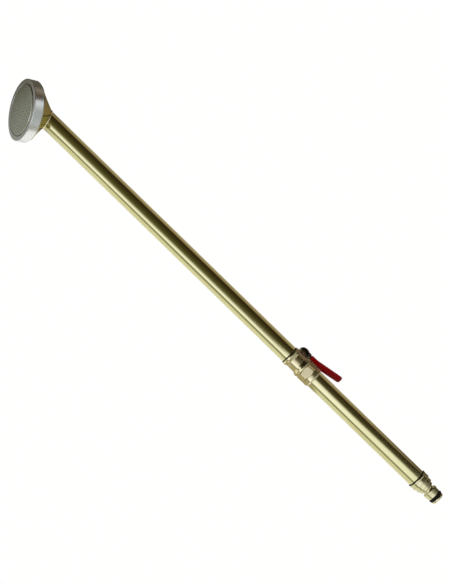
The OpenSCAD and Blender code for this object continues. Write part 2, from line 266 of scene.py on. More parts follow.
# Steps per metre of the drift in a metal's tone, of its specks and of vinyl's sags
TONE_DRIFT = (45, 45, 18)
SPECK_SIZE = 900
SAG_SIZE = 160


def shader(name):
    """A new material, its graph and its surface shader node."""
    material = bpy.data.materials.new(name)
    material.use_nodes = True
    graph = Graph(material.node_tree)
    return material, graph, material.node_tree.nodes["Principled BSDF"]


def metal(name, axes, light, dark, rough, grain, depth, vary=0.05, rings=False, spots=0.0,
          edge=(1, 1, 1)):
    """A metal with tone that drifts from light to dark, and a directional or cast grain.

    grain is in steps per metre along the axes, or along (distance, 0, height) with rings, and
    depth in micrometres. rough changes by vary with the grain. spots is how dark the specks are,
    and edge the tint of what is seen edge on."""
    material, graph, surface = shader(name)
    coords = graph.axis_coords(axes)
    tone = graph.map_range(graph.noise(coords, TONE_DRIFT, detail=4), *TONE_BAND)
    colour = graph.mix(tone, light, dark)
    grain_coords = graph.ring_coords(coords) if rings else coords
    lines = graph.noise(grain_coords, grain, detail=5, rough=0.7)
    if spots:
        darker = tuple(c * 0.45 for c in dark)
        specks = graph.noise(coords, SPECK_SIZE, detail=2)
        colour = graph.mix(graph.map_range(specks, *SPECK_BAND, 0, spots), colour, darker)
    graph.put(surface.inputs["Base Color"], colour)
    surface.inputs["Metallic"].default_value = 1
    surface.inputs["Specular Tint"].default_value = (*edge, 1)
    roughness = graph.map_range(lines, *SKIN_BAND, rough - vary, rough + vary)
    graph.put(surface.inputs["Roughness"], roughness)
    graph.put(surface.inputs["Normal"], graph.bump(lines, depth))
    return material


def lever_side_painted_shade(material, colour, amount, band, ragged, ragged_size=400):
    """Darkens a material towards brown on the lever's side of the valve, above the tube's axis: painted shade.

    band and ragged, which breaks up its edge, are in metres above the tube's axis, and
    ragged_size is in steps per metre."""
    graph = Graph(material.node_tree)
    base = material.node_tree.nodes["Principled BSDF"].inputs["Base Color"]
    unshaded_colour = base.links[0].from_socket
    coords = graph.axis_coords(STEM)
    _, _, height = graph.split(coords)
    height = graph.total(height, graph.product(graph.noise(coords, ragged_size), ragged))
    painted_shade_amount = graph.product(graph.step(height, band), amount)
    graph.put(base, graph.mix(painted_shade_amount, unshaded_colour, colour))


def polymer(name, light, dark, rough, vary=0.06, drift=130, grain=1200, depth=20, gloss=0.08,
            sags=0):
    """Rubber, plastic or vinyl: two close tones and a fine skin, over slight sags if given.

    drift and grain are in steps per metre, depth and sags in micrometres."""
    material, graph, surface = shader(name)
    coords = graph.axis_coords(STEM)
    tone = graph.map_range(graph.noise(coords, drift, detail=4), *TONE_BAND)
    graph.put(surface.inputs["Base Color"], graph.mix(tone, light, dark))
    skin = graph.noise(coords, grain)
    roughness = graph.map_range(skin, *SKIN_BAND, rough - vary, rough + vary)
    graph.put(surface.inputs["Roughness"], roughness)
    below = graph.bump(graph.noise(coords, SAG_SIZE, detail=2), sags) if sags else None
    graph.put(surface.inputs["Normal"], graph.bump(skin, depth, below))
    surface.inputs["Specular IOR Level"].default_value = gloss
    return material


METALS = {
    # Drawn and polished, with faint draw lines along the tube
    "tube_brass": dict(axes=TUBE, light=(0.61, 0.58, 0.30), dark=(0.57, 0.535, 0.265), rough=0.10,
                       grain=(1600, 1600, 9), depth=4, vary=0.035),
    # Spun, and darker than the tube's brass: the darkening is painted shade, for the dark that the cone mirrors.
    # It is tinted so that it isn't white where it is seen edge on
    "funnel_brass": dict(axes=ROSE, light=(0.44, 0.39, 0.20), dark=(0.36, 0.31, 0.15), rough=0.13,
                         grain=(700, 20, 700), depth=4, rings=True, edge=(0.6, 0.55, 0.42)),
    "turned_brass": dict(axes=TUBE, light=(0.62, 0.58, 0.34), dark=(0.55, 0.51, 0.28), rough=0.12,
                         grain=(5200, 40, 5200), depth=4, vary=0.04, rings=True),
    # Cast and brushed
    "cast_brass": dict(axes=TUBE, light=(0.70, 0.63, 0.365), dark=(0.61, 0.545, 0.305), rough=0.19,
                       grain=2600, depth=4, vary=0.04, spots=0.15),
    # The gland, nearly black all over: painted shade, for the shade it sits in under the lever plate
    "shade_darkened_brass": dict(axes=STEM, light=(0.15, 0.115, 0.07), dark=(0.07, 0.052, 0.03),
                            rough=0.34, grain=1500, depth=10, vary=0.08),
    "solder": dict(axes=TUBE, light=(0.84, 0.78, 0.54), dark=(0.74, 0.66, 0.42), rough=0.20,
                   grain=420, depth=40, vary=0.06),
    "satin_aluminium": dict(axes=ROSE, light=(0.76, 0.77, 0.75), dark=(0.70, 0.71, 0.69),
                            rough=0.26, grain=(3800, 10, 3800), depth=12, vary=0.07, rings=True),
    "face_aluminium": dict(axes=ROSE, light=(0.67, 0.66, 0.60), dark=(0.60, 0.59, 0.53),
                           rough=0.30, grain=(3000, 10, 3000), depth=20, vary=0.06, rings=True),
    "sieve_steel": dict(axes=ROSE, light=(0.53, 0.55, 0.43), dark=(0.49, 0.51, 0.39), rough=0.34,
                        grain=1500, depth=8),
    # Zinc-plated steel, far darker than plating: painted shade, for the shade under the lever plate
    "zinc_steel": dict(axes=STEM, light=(0.26, 0.235, 0.20), dark=(0.18, 0.16, 0.13), rough=0.26,
                       grain=900, depth=10, vary=0.08),
    "ball_chrome": dict(axes=STEM, light=(0.78, 0.78, 0.76), dark=(0.72, 0.72, 0.70), rough=0.08,
                        grain=900, depth=2, vary=0.02),
}
POLYMERS = {
    # Dipped soft vinyl: an even skin with slight sags and dust-fine dimples
    "red_vinyl": dict(light=(0.17, 0.0, 0.001), dark=(0.135, 0.0, 0.001), rough=0.34, vary=0.04,
                      drift=90, grain=1400, depth=2, gloss=0.12, sags=30),
    "white_ptfe": dict(light=(0.80, 0.80, 0.77), dark=(0.72, 0.72, 0.68), rough=0.38),
    "nylon": dict(light=(0.72, 0.70, 0.62), dark=(0.62, 0.60, 0.52), rough=0.42),
    "black_rubber": dict(light=(0.006, 0.005, 0.003), dark=(0.010, 0.008, 0.004), rough=0.50),
}
MATERIALS = {name: metal(name, **looks) for name, looks in METALS.items()}
MATERIALS.update({name: polymer(name, **looks) for name, looks in POLYMERS.items()})
# Painted shade: the cast brass is darkened towards brown on the lever's side of the valve, above the tube's axis
lever_side_painted_shade(MATERIALS["cast_brass"], colour=(0.21, 0.145, 0.08), amount=0.95,
            band=(-0.0005, 0.0035), ragged=0.003)


# ---------------------------------------------------------------- drawing tools
def link(name, data):
    """A new object in the scene."""
    thing = bpy.data.objects.new(name, data)
    bpy.context.collection.objects.link(thing)
    return thing


def apply_modifiers(piece):
    """Puts the modifiers' result into the piece's own mesh."""
    shape = piece.evaluated_get(bpy.context.evaluated_depsgraph_get())
    piece.data = bpy.data.meshes.new_from_object(shape)
    piece.data.name = piece.name
    piece.modifiers.clear()


def settle(piece, node, body):
    """A piece moves with its body and stands for a CAD node, which is hidden."""
    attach(piece, body)
    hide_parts(node)


def place_piece(name, bm, axes, finish, node, body="wand", crease=32, second=None):
    """Makes a piece from a bmesh in millimetres, drawn in the given axes of the wand.

    second is the finish of the faces whose material_index is 1. Edges sharper than crease, in degrees,
    stay sharp, and the normals are set by face area, so that only the rounded edges shade as curves."""
    bmesh.ops.remove_doubles(bm, verts=bm.verts, dist=0.0005)
    bmesh.ops.recalc_face_normals(bm, faces=bm.faces)
    bmesh.ops.scale(bm, vec=(MM, MM, MM), verts=bm.verts)
    bmesh.ops.transform(bm, matrix=to_row(axes), verts=bm.verts)
    mesh = bpy.data.meshes.new(name)
    bm.to_mesh(mesh)
    bm.free()
    mesh.shade_smooth()
    mesh.set_sharp_from_angle(angle=math.radians(crease))
    mesh.materials.append(MATERIALS[finish])
    if second:
        mesh.materials.append(MATERIALS[second])
    piece = link(name, mesh)
    weighted = piece.modifiers.new("weighted", "WEIGHTED_NORMAL")
    weighted.keep_sharp = True
    weighted.weight = 100
    apply_modifiers(piece)
    settle(piece, node, body)


def ring_angles(count=FINE):
    """Evenly spaced angles round a whole turn."""
    return [2 * math.pi * i / count for i in range(count)]


def rounded(points, radius=0.25, steps=3):
    """A closed outline of (r, h) points with its corners rounded.

    A third value sets a corner's own radius. A nearly straight corner stays as it is."""
    touching, nearly_straight, greatest_share = 1e-6, math.radians(86), 0.45
    out = []
    count = len(points)
    for i, point in enumerate(points):
        corner = Vector(point[:2])
        before = Vector(points[i - 1][:2]) - corner
        after = Vector(points[(i + 1) % count][:2]) - corner
        want = point[2] if len(point) > 2 else radius
        shorter = min(before.length, after.length)
        if want <= 0 or shorter < touching:
            out.append(tuple(corner))
            continue
        half = before.angle(after) / 2
        if half > nearly_straight:
            out.append(tuple(corner))
            continue
        reach = min(want / math.tan(half), shorter * greatest_share)
        start = corner + before.normalized() * reach
        end = corner + after.normalized() * reach
        for k in range(steps + 1):
            t = k / steps
            out.append(tuple((1 - t) ** 2 * start + 2 * t * (1 - t) * corner + t * t * end))
    return out


def grid_faces(bm, rows, closed=True):
    """Joins rows of vertices, each a closed loop, into quads."""
    pairs = list(zip(rows, rows[1:]))
    if closed:
        pairs.append((rows[-1], rows[0]))
    for low, high in pairs:
        for i in range(len(low)):
            j = (i + 1) % len(low)
            bm.faces.new((low[i], low[j], high[j], high[i]))


def loft(loops, axes=None):
    """A closed bmesh over loops of points, which are turned back from wand axes to those given."""
    bm = bmesh.new()
    back = axes.inverted() if axes else Matrix.Identity(4)
    grid_faces(bm, [[bm.verts.new(back @ point) for point in loop] for loop in loops])
    return bm


def turned(outline, columns=FINE, shape=None):
    """A bmesh of a closed outline of (r, h) points turned about Z.

    shape(r, h, angle) may move a point."""
    bm = bmesh.new()
    rows = []
    for r, h in outline:
        row = []
        for a in ring_angles(columns):
            out, up = shape(r, h, a) if shape else (r, h)
            row.append(bm.verts.new((out * math.cos(a), out * math.sin(a), up)))
        rows.append(row)
    grid_faces(bm, rows)
    return bm


def bridge(start, end, shares):
    """Loops between two others, at the given shares of the way."""
    return [[a.lerp(b, share) for a, b in zip(start, end)] for share in shares]


def spread(r, low, high, step=0.125):
    """Points of a straight wall at radius r, close enough together to cut a thread in."""
    count = max(2, round(abs(high - low) / step))
    return [(r, low + (high - low) * i / count) for i in range(count + 1)]


def thread_cut(h, angle, low, high):
    """Depth of a right-hand thread at height h, run out to nothing at both ends."""
    turn = (h / THREAD_PITCH - angle / (2 * math.pi)) % 1
    vee = 1 - abs(2 * turn - 1)
    fade = min(1, max(0, (h - low) / THREAD_RUN_OUT), max(0, (high - h) / THREAD_RUN_OUT))
    return THREAD_DEPTH * min(1, vee * 1.25) * fade


def hex_radius(angle, flat, corner_r):
    """Radius of a hexagon with rounded corners, whose flats are at distance flat."""
    sector = math.radians(60)
    a = (angle + sector / 2) % sector - sector / 2
    tangent = math.atan((flat - corner_r) * math.tan(sector / 2) / flat)
    if abs(a) <= tangent:
        return flat / math.cos(a)
    centre = (flat - corner_r) / math.cos(sector / 2)
    d = sector / 2 - abs(a)
    return centre * math.cos(d) + math.sqrt(max(0, corner_r**2 - (centre * math.sin(d)) ** 2))


def hexagon_rows(flat, low, high):
    """Rows up a hexagon's outside: both ends, both edges of the turned-off corners, the middle."""
    return [(flat, h) for h in (low, low + 0.001, (low + high) / 2, high - 0.001, high)]


def hexagon_shape(flat, low, high, corner_r, turn):
    """The shape for turned() that makes a hexagon of those rows, turned by some degrees.

    Its corners are turned off at both ends, from just inside the flats."""
    start = flat - 0.1
    slope = 1.6

    def shape(r, h, a):
        if abs(r - flat) > 1e-6:
            return r, h
        out = hex_radius(a - math.radians(turn), flat, corner_r)
        if h in (low, high):
            return min(out, start), h
        cut = (out - start) / slope
        return out, min(max(h, low + cut), high - cut)

    return shape


# ---------------------------------------------------------------- rose
def screw_ring():
    """Ring with a flat face, a rounded shoulder, an inner lip and a real inside thread."""
    top = RING_FRONT - LIP_T
    outline = rounded([
        (LIP_R, top, 0.15), (LIP_R, RING_FRONT - 0.5, 0), (LIP_R + 0.45, RING_FRONT, 0.2),
        (RING_R, RING_FRONT, 0.7), (RING_R, RING_BACK, 0.7), (THREAD_R + 0.6, RING_BACK, 0.2),
    ], steps=4)
    outline += spread(THREAD_R, RING_BACK + 0.5, top - 0.3) + [(THREAD_R, top)]

    def inside_thread(r, h, a):
        if abs(r - THREAD_R) < 1e-6:
            return r + thread_cut(h, a, RING_BACK + 0.4, top - 0.3), h
        return r, h

    bm = turned(outline, shape=inside_thread)
    for face in bm.faces:
        face.material_index = int(face.calc_center_median().z > RING_FRONT - 0.12)
    place_piece("screw_ring", bm, ROSE, "satin_aluminium", "rose_ring", body="screw_ring",
                second="face_aluminium")


def hole_places():
    """Centres of the spray holes: one in the middle and the rest on circles."""
    places = [(0.0, 0.0)]
    for k in range(1, HOLE_CIRCLES + 1):
        for a in ring_angles(6 * k):
            places.append((HOLE_STEP * k * math.cos(a), HOLE_STEP * k * math.sin(a)))
    return places


def field_mesh(field_r, holes):
    """Flat points and faces of the sieve's round field, with an edge round each hole.

    A loose circle of points round each hole, and one inside the rim, keep the faces even."""
    sides = 12
    points, edges = [], []

    def circle(cx, cy, r, angles):
        points.extend(Vector((cx + r * math.cos(a), cy + r * math.sin(a))) for a in angles)

    def loop(cx, cy, r, count):
        start = len(points)
        circle(cx, cy, r, ring_angles(count))
        edges.extend((start + i, start + (i + 1) % count) for i in range(count))

    loop(0, 0, field_r, FINE)
    for cx, cy in holes:
        loop(cx, cy, HOLE_R, sides)
    between = [2 * math.pi * (i + 0.5) / sides for i in range(sides)]
    for cx, cy in holes:
        circle(cx, cy, HOLE_R + 0.33, between)
    circle(0, 0, field_r - 0.9, ring_angles(FINE // 2))
    verts, _, faces, *_ = delaunay_2d_cdt(points, edges, [], 1, 1e-5)
    return verts, faces


def sieve_wall(field_r, edge_r):
    """Outline of the sieve's rounded edge, wall and flange, out from the field and back under."""
    inner = SIEVE_R - SIEVE_T
    under = FLANGE_TOP - SIEVE_T
    bends = [math.radians(t) for t in range(0, 91, 15)]
    wall = [(field_r + edge_r * math.sin(t), SIEVE_TOP - edge_r * (1 - math.cos(t)))
            for t in bends]
    wall += [(SIEVE_R, FLANGE_TOP + 0.3), (SIEVE_R + 0.09, FLANGE_TOP + 0.09),
             (SIEVE_R + 0.3, FLANGE_TOP), (FLANGE_R - 0.15, FLANGE_TOP),
             (FLANGE_R, FLANGE_TOP - 0.15), (FLANGE_R, under), (inner + 0.3, under),
             (inner, under + 0.3), (inner, SIEVE_TOP - 1.3), (inner - 0.1, SIEVE_TOP - 0.95),
             (field_r, SIEVE_TOP - SIEVE_T)]
    return wall


def spray_plate():
    """Pressed plate: a crowned field with 169 real holes, a rounded edge and a flange."""
    crown, edge_r = 0.8, 1.1
    field_r = SIEVE_R - edge_r
    holes = hole_places()
    verts, faces = field_mesh(field_r, holes)

    def in_hole(x, y):
        return any((x - cx) ** 2 + (y - cy) ** 2 < (HOLE_R * 0.96) ** 2 for cx, cy in holes)

    def height(x, y):
        share = (x * x + y * y) / field_r**2
        return SIEVE_TOP + crown * (1 - share) ** 1.2 if share < 1 else SIEVE_TOP

    bm = bmesh.new()
    top = [bm.verts.new((v.x, v.y, height(v.x, v.y))) for v in verts]
    under = [bm.verts.new((v.x, v.y, height(v.x, v.y) - SIEVE_T)) for v in verts]
    for face in faces:
        cx = sum(verts[i].x for i in face) / len(face)
        cy = sum(verts[i].y for i in face) / len(face)
        if not in_hole(cx, cy):
            bm.faces.new([top[i] for i in face])
            bm.faces.new([under[i] for i in reversed(face)])
    below = dict(zip(top, under))
    for edge in [e for e in bm.edges if len(e.link_faces) == 1]:
        a, b = edge.verts
        if a in below and (a.co.x**2 + a.co.y**2) < (field_r - 0.05) ** 2:
            bm.faces.new((a, b, below[b], below[a]))
    rows = [[bm.verts.new((r * math.cos(a), r * math.sin(a), h)) for a in ring_angles()]
            for r, h in sieve_wall(field_r, edge_r)]
    grid_faces(bm, rows, closed=False)
    place_piece("spray_plate", bm, ROSE, "sieve_steel", "sieve_plate", body="sieve", crease=40)


def seam_ring(r):
    """The oval in which the seam's plane cuts the tube, in wand axes."""
    lean = math.tan(BEND / 2)
    return [Vector((SEAM_X - r * lean * math.cos(a), r * math.sin(a), r * math.cos(a)))
            for a in ring_angles()]


def rose_ring_points(r, h):
    """A circle about the rose's axis, in wand axes, that starts where seam_ring() starts."""
    return [ROSE @ Vector((r * math.cos(a), r * math.sin(a), h)) for a in ring_angles()]


def funnel():
    """Threaded skirt, rolled bead and slanting cone that is drawn in to the tube."""
    steps = 28
    skirt = [(SKIRT_IN_R, SKIRT_TOP), (SKIRT_R - 0.5, SKIRT_TOP), (SKIRT_R, SKIRT_TOP - 0.5)]
    skirt += spread(SKIRT_R, SKIRT_TOP - 0.6, BEAD_TOP + 0.1)
    bead = [(SKIRT_R, BEAD_TOP), (BEAD_R - 0.45, BEAD_TOP), (BEAD_R - 0.13, BEAD_TOP - 0.13),
            (BEAD_R, BEAD_TOP - 0.45), (BEAD_R, CONE_BASE + 0.45),
            (BEAD_R - 0.13, CONE_BASE + 0.13), (BEAD_R - 0.45, CONE_BASE),
            (CONE_R + 0.25, CONE_BASE), (CONE_R, CONE_BASE - 0.1)]
    loops = []
    for r, h in skirt:
        loop = []
        for a in ring_angles():
            cut = thread_cut(h, a, BEAD_TOP + 0.2, SKIRT_TOP - 0.5) if r >= SKIRT_R else 0
            loop.append(ROSE @ Vector(((r - cut) * math.cos(a), (r - cut) * math.sin(a), h)))
        loops.append(loop)
    loops += [rose_ring_points(r, h) for r, h in bead]
    loops += bridge(rose_ring_points(CONE_R, CONE_BASE - 0.1), seam_ring(TUBE_R),
                    [k / steps for k in range(1, steps + 1)])
    loops += bridge(rose_ring_points(CONE_R - 1, CONE_BASE + 0.3), seam_ring(BORE_R),
                    [k / steps for k in range(steps, -1, -4)])
    loops.append(rose_ring_points(SKIRT_IN_R, CONE_BASE + 0.6))
    place_piece("funnel", loft(loops, ROSE), ROSE, "funnel_brass", "rose_funnel")


def head_fillet():
    """Wiped solder round the mitred seam, with the small swells that a torch leaves."""
    loops = []
    for centre, a in zip(seam_ring(TUBE_R + 0.05), ring_angles()):
        out = Vector((0, math.sin(a), math.cos(a)))
        width = 1.05 + 0.16 * math.sin(5 * a + 1) + 0.09 * math.sin(11 * a)
        height = 0.68 + 0.08 * math.sin(7 * a + 2)
        loops.append([centre + Vector((1, 0, 0)) * width * math.cos(b) + out * height * math.sin(b)
                      for b in ring_angles(14)])
    place_piece("head_fillet", loft(loops), Matrix.Identity(4), "solder", "head_solder",
                crease=180)


# ---------------------------------------------------------------- tubes and seals
def lance_tube():
    """Upper tube: mitred at the seam, cut square and deburred at the valve."""
    end = VALVE_X - SEAL_T
    steps = 24

    def straight(r, x):
        return [Vector((x, r * math.sin(a), r * math.cos(a))) for a in ring_angles()]

    loops = bridge(seam_ring(TUBE_R), straight(TUBE_R, end - 0.25),
                   [k / steps for k in range(steps + 1)])
    loops += [straight(TUBE_R - 0.08, end - 0.07), straight(TUBE_R - 0.25, end),
              straight(BORE_R + 0.2, end)]
    loops += bridge(seam_ring(BORE_R), straight(BORE_R, end - 0.2),
                    [k / steps for k in range(steps, -1, -6)])
    place_piece("lance_tube", loft(loops, TUBE), TUBE, "tube_brass", "upper_tube")


def handle_tube():
    """Lower tube, from just short of the socket's floor to the plug's seal."""
    start, end = VALVE_END_X - SOCKET_DEPTH + 0.02, PLUG_X - SEAL_T
    count = 12
    outline = [(TUBE_R - 0.25, start)]
    outline += [(TUBE_R, start + 0.25 + (end - start - 0.5) * i / count) for i in range(count + 1)]
    outline += [(TUBE_R - 0.07, end - 0.07), (TUBE_R - 0.25, end), (BORE_R + 0.2, end),
                (BORE_R, end - 0.2), (BORE_R, start + 0.2), (BORE_R + 0.2, start)]
    place_piece("handle_tube", turned(outline), TUBE, "tube_brass", "lower_tube")


def flat_seal(name, node, x, outer):
    """A flat rubber washer with rounded edges, a hair thinner than its gap."""
    inner, back, front = BORE_R - 0.02, -SEAL_T + 0.03, -0.03
    outline = rounded([(inner, back, 0.1), (outer, back, 0.3), (outer, front, 0.3),
                       (inner, front, 0.1)])
    place_piece(name, turned(outline), tube_axes(x), "black_rubber", node)


def socket_fillet():
    """Solder run into the corner between the lower tube and its socket."""
    inner = TUBE_R + 0.02
    outline = rounded([(inner, 0.02, 0), (10.9, 0.02, 0.1), (10.25, 0.65, 0.5), (inner, 1.3, 0)])

    def swell(r, h, a):
        return r + (r - inner) * (0.12 * math.sin(5 * a) + 0.08 * math.sin(13 * a + 1)), h

    place_piece("socket_fillet", turned(outline, shape=swell), tube_axes(VALVE_END_X), "solder",
                "valve_solder")


# ---------------------------------------------------------------- valve
def softened(name, node, axes, finish, voxel, passes, body):
    """A piece with the CAD node's form, whose edges are softened as casting or stamping does."""
    source = frame["nodes"][node]
    mesh = bpy.data.meshes.new(name)
    bm = bmesh.new()
    bm.from_mesh(source.data)
    bmesh.ops.transform(bm, matrix=to_row(axes).inverted() @ source.matrix_world, verts=bm.verts)
    bmesh.ops.remove_doubles(bm, verts=bm.verts, dist=1e-6)
    bm.to_mesh(mesh)
    bm.free()
    piece = link(name, mesh)
    remesh = piece.modifiers.new("remesh", "REMESH")
    remesh.mode = "VOXEL"
    remesh.voxel_size = voxel * MM
    smooth = piece.modifiers.new("smooth", "SMOOTH")
    smooth.factor = 0.5
    smooth.iterations = passes
    apply_modifiers(piece)
    piece.data.transform(to_row(axes))
    piece.data.materials.clear()
    piece.data.materials.append(MATERIALS[finish])
    piece.data.shade_smooth()
    settle(piece, node, body)


def hex_end_piece():
    """Hexagon with chamfered corners, and the round socket that the lower tube is soldered in."""
    floor = VALVE_LEN - SOCKET_DEPTH
    socket = rounded([
        (SOCKET_R - 1.6, HEX_END, 0), (SOCKET_R, HEX_END, 0), (SOCKET_R, VALVE_LEN, 0.45),
        (TUBE_R + 0.02, VALVE_LEN, 0.12), (TUBE_R + 0.02, floor, 0),
        (TUBE_R - 1.4, floor, 0), (TUBE_R - 1.4, 30.0, 0), (PORT_R, 29.4, 0), (PORT_R, 17.1, 0),
        (7, 17.1, 0), (7, 14.3, 0), (8.38, 14.3, 0), (8.38, HEX_START, 0),
    ], steps=4)
    outline = socket[1:] + [(HEX_FLAT - 0.3, HEX_START)]
    outline += hexagon_rows(HEX_FLAT, HEX_START, HEX_END) + [(HEX_FLAT - 0.2, HEX_END)]
    shape = hexagon_shape(HEX_FLAT, HEX_START, HEX_END, corner_r=0.5, turn=20)
    place_piece("valve_hex_end", turned(outline, 288, shape), tube_axes(VALVE_X), "cast_brass",
                "valve_end_piece", crease=28)


def gland():
    """Gland nut: a small chamfered hexagon with its thread hidden in the boss."""
    flat, low, high = GLAND_FLAT, GLAND_BASE, GLAND_TOP
    outline = [(2.55, 12.42), (3.65, 12.42), (3.65, low), (flat - 0.2, low)]
    outline += hexagon_rows(flat, low, high)
    outline += [(flat - 0.2, high), (2.75, high), (2.55, high - 0.2)]
    shape = hexagon_shape(flat, low, high, corner_r=0.25, turn=30)
    # Its finish is nearly black: painted shade
    place_piece("gland_hexagon", turned(outline, 144, shape), STEM, "shade_darkened_brass",
                "gland_nut", crease=28)


def lock_nut():
    """Lock nut: hexagon with a round collar that is rolled over its nylon insert."""
    flat, low, high = NUT_FLAT, PLATE_TOP + 0.01, PLATE_TOP + 2
    outline = [(2.52, low), (flat - 0.15, low)] + hexagon_rows(flat, low, high)
    outline += [(3.6, high + 0.02), (3.6, high + 0.45), (3.5, high + 0.7), (3.25, high + 0.8),
                (3.05, high + 0.76), (3.0, high + 0.6), (3.0, high - 0.5), (2.52, high - 0.5)]
    shape = hexagon_shape(flat, low, high, corner_r=0.25, turn=42)
    place_piece("lock_nut", turned(outline, 144, shape), STEM, "zinc_steel", "lever_nut",
                body="lever", crease=28)


def lever_height(u):
    """Height of the lever's middle at u along it, with the knee rounded."""
    soft = 2.2
    past = u - LEVER_KNEE
    if past <= -soft:
        return LEVER_H
    if past >= soft:
        return LEVER_H + past * math.tan(LEVER_RISE)
    return LEVER_H + math.tan(LEVER_RISE) * (past + soft) ** 2 / (4 * soft)


def lever_lean(u):
    """Slope of the lever at u along it, as an angle."""
    return math.atan2(lever_height(u + 0.05) - lever_height(u - 0.05), 0.1)


def sleeve():
    """Dipped vinyl grip: a flattened tube that follows the bent lever and closes round its tip."""
    columns = 64
    squareness = 2.7  # 2 is an oval, more is nearer to a rectangle
    outer_w, outer_t, wall = 4.68, 1.98, 0.9
    body_w, body_t = outer_w - 0.1, outer_t - 0.08
    start = SLEEVE_START + 0.05
    last = SLEEVE_END - 3.0  # where the rounded tip starts
    tip_length, tip_narrowing = 2.86, 2.3
    mouth = ((0, 0.45), (0.12, 0.2), (0.4, 0.02), (0.9, 0.0))  # how far in, and how much smaller
    bm = bmesh.new()

    def rounding(value):
        return math.copysign(abs(value) ** (2 / squareness), value)

    def section(u, half_w, half_t, lean):
        row = []
        for a in ring_angles(columns):
            y, z = half_w * rounding(math.cos(a)), half_t * rounding(math.sin(a))
            row.append(bm.verts.new((u - z * math.sin(lean), y,
                                     lever_height(u) + z * math.cos(lean))))
        return row

    rows = []
    for inward, shrink in mouth:
        u = start + inward
        rows.append(section(u, outer_w - shrink, outer_t - shrink, lever_lean(u)))
    count = 44
    full = start + mouth[-1][0]
    for k in range(1, count + 1):
        u = full + (last - full) * k / count
        belly = math.sin(math.pi * k / count)
        rows.append(section(u, body_w + 0.10 * belly, body_t + 0.08 * belly, lever_lean(u)))
    tip = 12
    for k in range(1, tip + 1):
        b = math.radians(90) * k / tip
        side = body_w - tip_narrowing * (1 - math.cos(b))
        thick = body_t * (0.12 + 0.88 * math.sqrt(max(0, math.cos(b)))) if k < tip else 0.2
        rows.append(section(last + tip_length * math.sin(b), side, thick, lever_lean(last)))
    grid_faces(bm, rows, closed=False)
    bm.faces.new(rows[-1])
    inner = []
    for u in (start, start + 0.3, 16, LEVER_KNEE, 18, 30, SLEEVE_END - 4.5):
        flare = 0.25 if u == start else 0.0
        inner.append(section(u, outer_w - wall + flare, outer_t - wall + flare, lever_lean(u)))
    grid_faces(bm, inner, closed=False)
    bm.faces.new(inner[-1])
    for i in range(columns):
        j = (i + 1) % columns
        bm.faces.new((rows[0][i], rows[0][j], inner[0][j], inner[0][i]))
    place_piece("vinyl_grip", bm, STEM, "red_vinyl", "lever_sleeve", body="lever", crease=60)


# ---------------------------------------------------------------- hose plug
def hose_plug():
    """Turned plug: collar, two steps, neck, locking collar, barrel, O-ring groove, bevelled tip."""
    outline = rounded([
        (4.5, -10, 0.2), (8.9, -10, 0.2), (8.95, 0, 0),
        (10.6, 0, 0.1), (11, 0.4, 0.1), (11, 1.8, 0.1), (10.85, 2.1, 0.1), (10.9, 6.4, 0.3),
        (10.5, 6.8, 0.1), (9.6, 6.8, 0.15), (9.6, 11.5, 0.3), (9.2, 11.9, 0.1),
        (8, 11.9, 0.15), (8, 14.6, 0.2), (7.7, 14.9, 0.1), (6.65, 14.9, 0.1),
        (6.15, 15.4, 0.4), (6.15, 17.8, 0.3),
        (7.85, 18, 0.1), (8.25, 18.4, 0.3), (8.25, 20.8, 0.25), (7.75, 21, 0.1),
        (7.75, 25.2, 0.15), (5.15, 25.2, 0.2), (5.15, 29.1, 0.2), (7.3, 29.1, 0.15),
        (7.3, 30.8, 0.25), (6.5, 31.6, 0.2), (4.7, 31.6, 0.1), (4.5, 31.2, 0.1),
    ])
    place_piece("plug_turning", turned(outline), tube_axes(PLUG_X), "turned_brass", "hose_plug",
                crease=35)


def o_ring():
    """Rubber ring of oval section, with the fine mould line round its outside."""
    centre, half_t, half_w, ridge = 6.65, 1.43, 1.78, 0.02
    outline = [(centre + half_t * math.cos(b), O_RING_X + half_w * math.sin(b))
               for b in ring_angles(32)]
    outline[0] = (centre + half_t + ridge, O_RING_X)
    place_piece("plug_seal_ring", turned(outline), tube_axes(PLUG_X), "black_rubber",
                "plug_o_ring", crease=60)


def build_pieces():
    """All pieces that replace a CAD node, from the rose to the plug."""
    screw_ring()
    spray_plate()
    funnel()
    head_fillet()
    lance_tube()
    flat_seal("valve_washer", "valve_seal", VALVE_X, 10.7)
    softened("valve_casting", "valve_body", tube_axes(VALVE_X), "cast_brass", voxel=0.235,
             passes=4, body="wand")
    hex_end_piece()
    gland()
    softened("lever_strip", "lever_plate", STEM, "zinc_steel", voxel=0.17, passes=3, body="lever")
    lock_nut()
    sleeve()
    socket_fillet()
    handle_tube()
    flat_seal("plug_washer", "plug_seal", PLUG_X, 11.1)
    hose_plug()
    o_ring()


# CAD nodes that keep their own shape and only take a finish
FINISHES = {
    "rose_gasket": "black_rubber",
    "valve_ball": "ball_chrome",
    "seat_head_side": "white_ptfe",
    "seat_hose_side": "white_ptfe",
    "valve_stem": "cast_brass",
    "thrust_washer": "white_ptfe",
    "stem_packing": "white_ptfe",
    "nut_insert": "nylon",
}


def finish_nodes():
    """Finishes of the CAD nodes that stay."""
    for node, finish in FINISHES.items():
        shown = frame["nodes"][node]
        if not shown.material_slots:
            shown.data.materials.append(MATERIALS[finish])
        for material_slot in shown.material_slots:
            material_slot.material = MATERIALS[finish]


# ---------------------------------------------------------------- camera
CAMERA_PLACE = Vector((0.0412, -0.6269, 1.4620))
CAMERA_AIM = Vector((-0.0016, 0.0037, 0.0280))
CAMERA_ROLL = math.radians(39.92)
CAMERA_LENS = 91.85


def make_camera():
    """The camera, above the near side and rolled until the wand lies across its view."""
    data = bpy.data.cameras.new("camera")
    data.lens = CAMERA_LENS
    data.sensor_width = 36
    data.clip_start = 0.05
    data.clip_end = 60
    camera = link("camera", data)
    level = (CAMERA_AIM - CAMERA_PLACE).to_track_quat("-Z", "Y")
    camera.rotation_mode = "QUATERNION"
    camera.rotation_quaternion = level @ Quaternion((0, 0, 1), CAMERA_ROLL)
    camera.location = CAMERA_PLACE
    bpy.context.scene.camera = camera


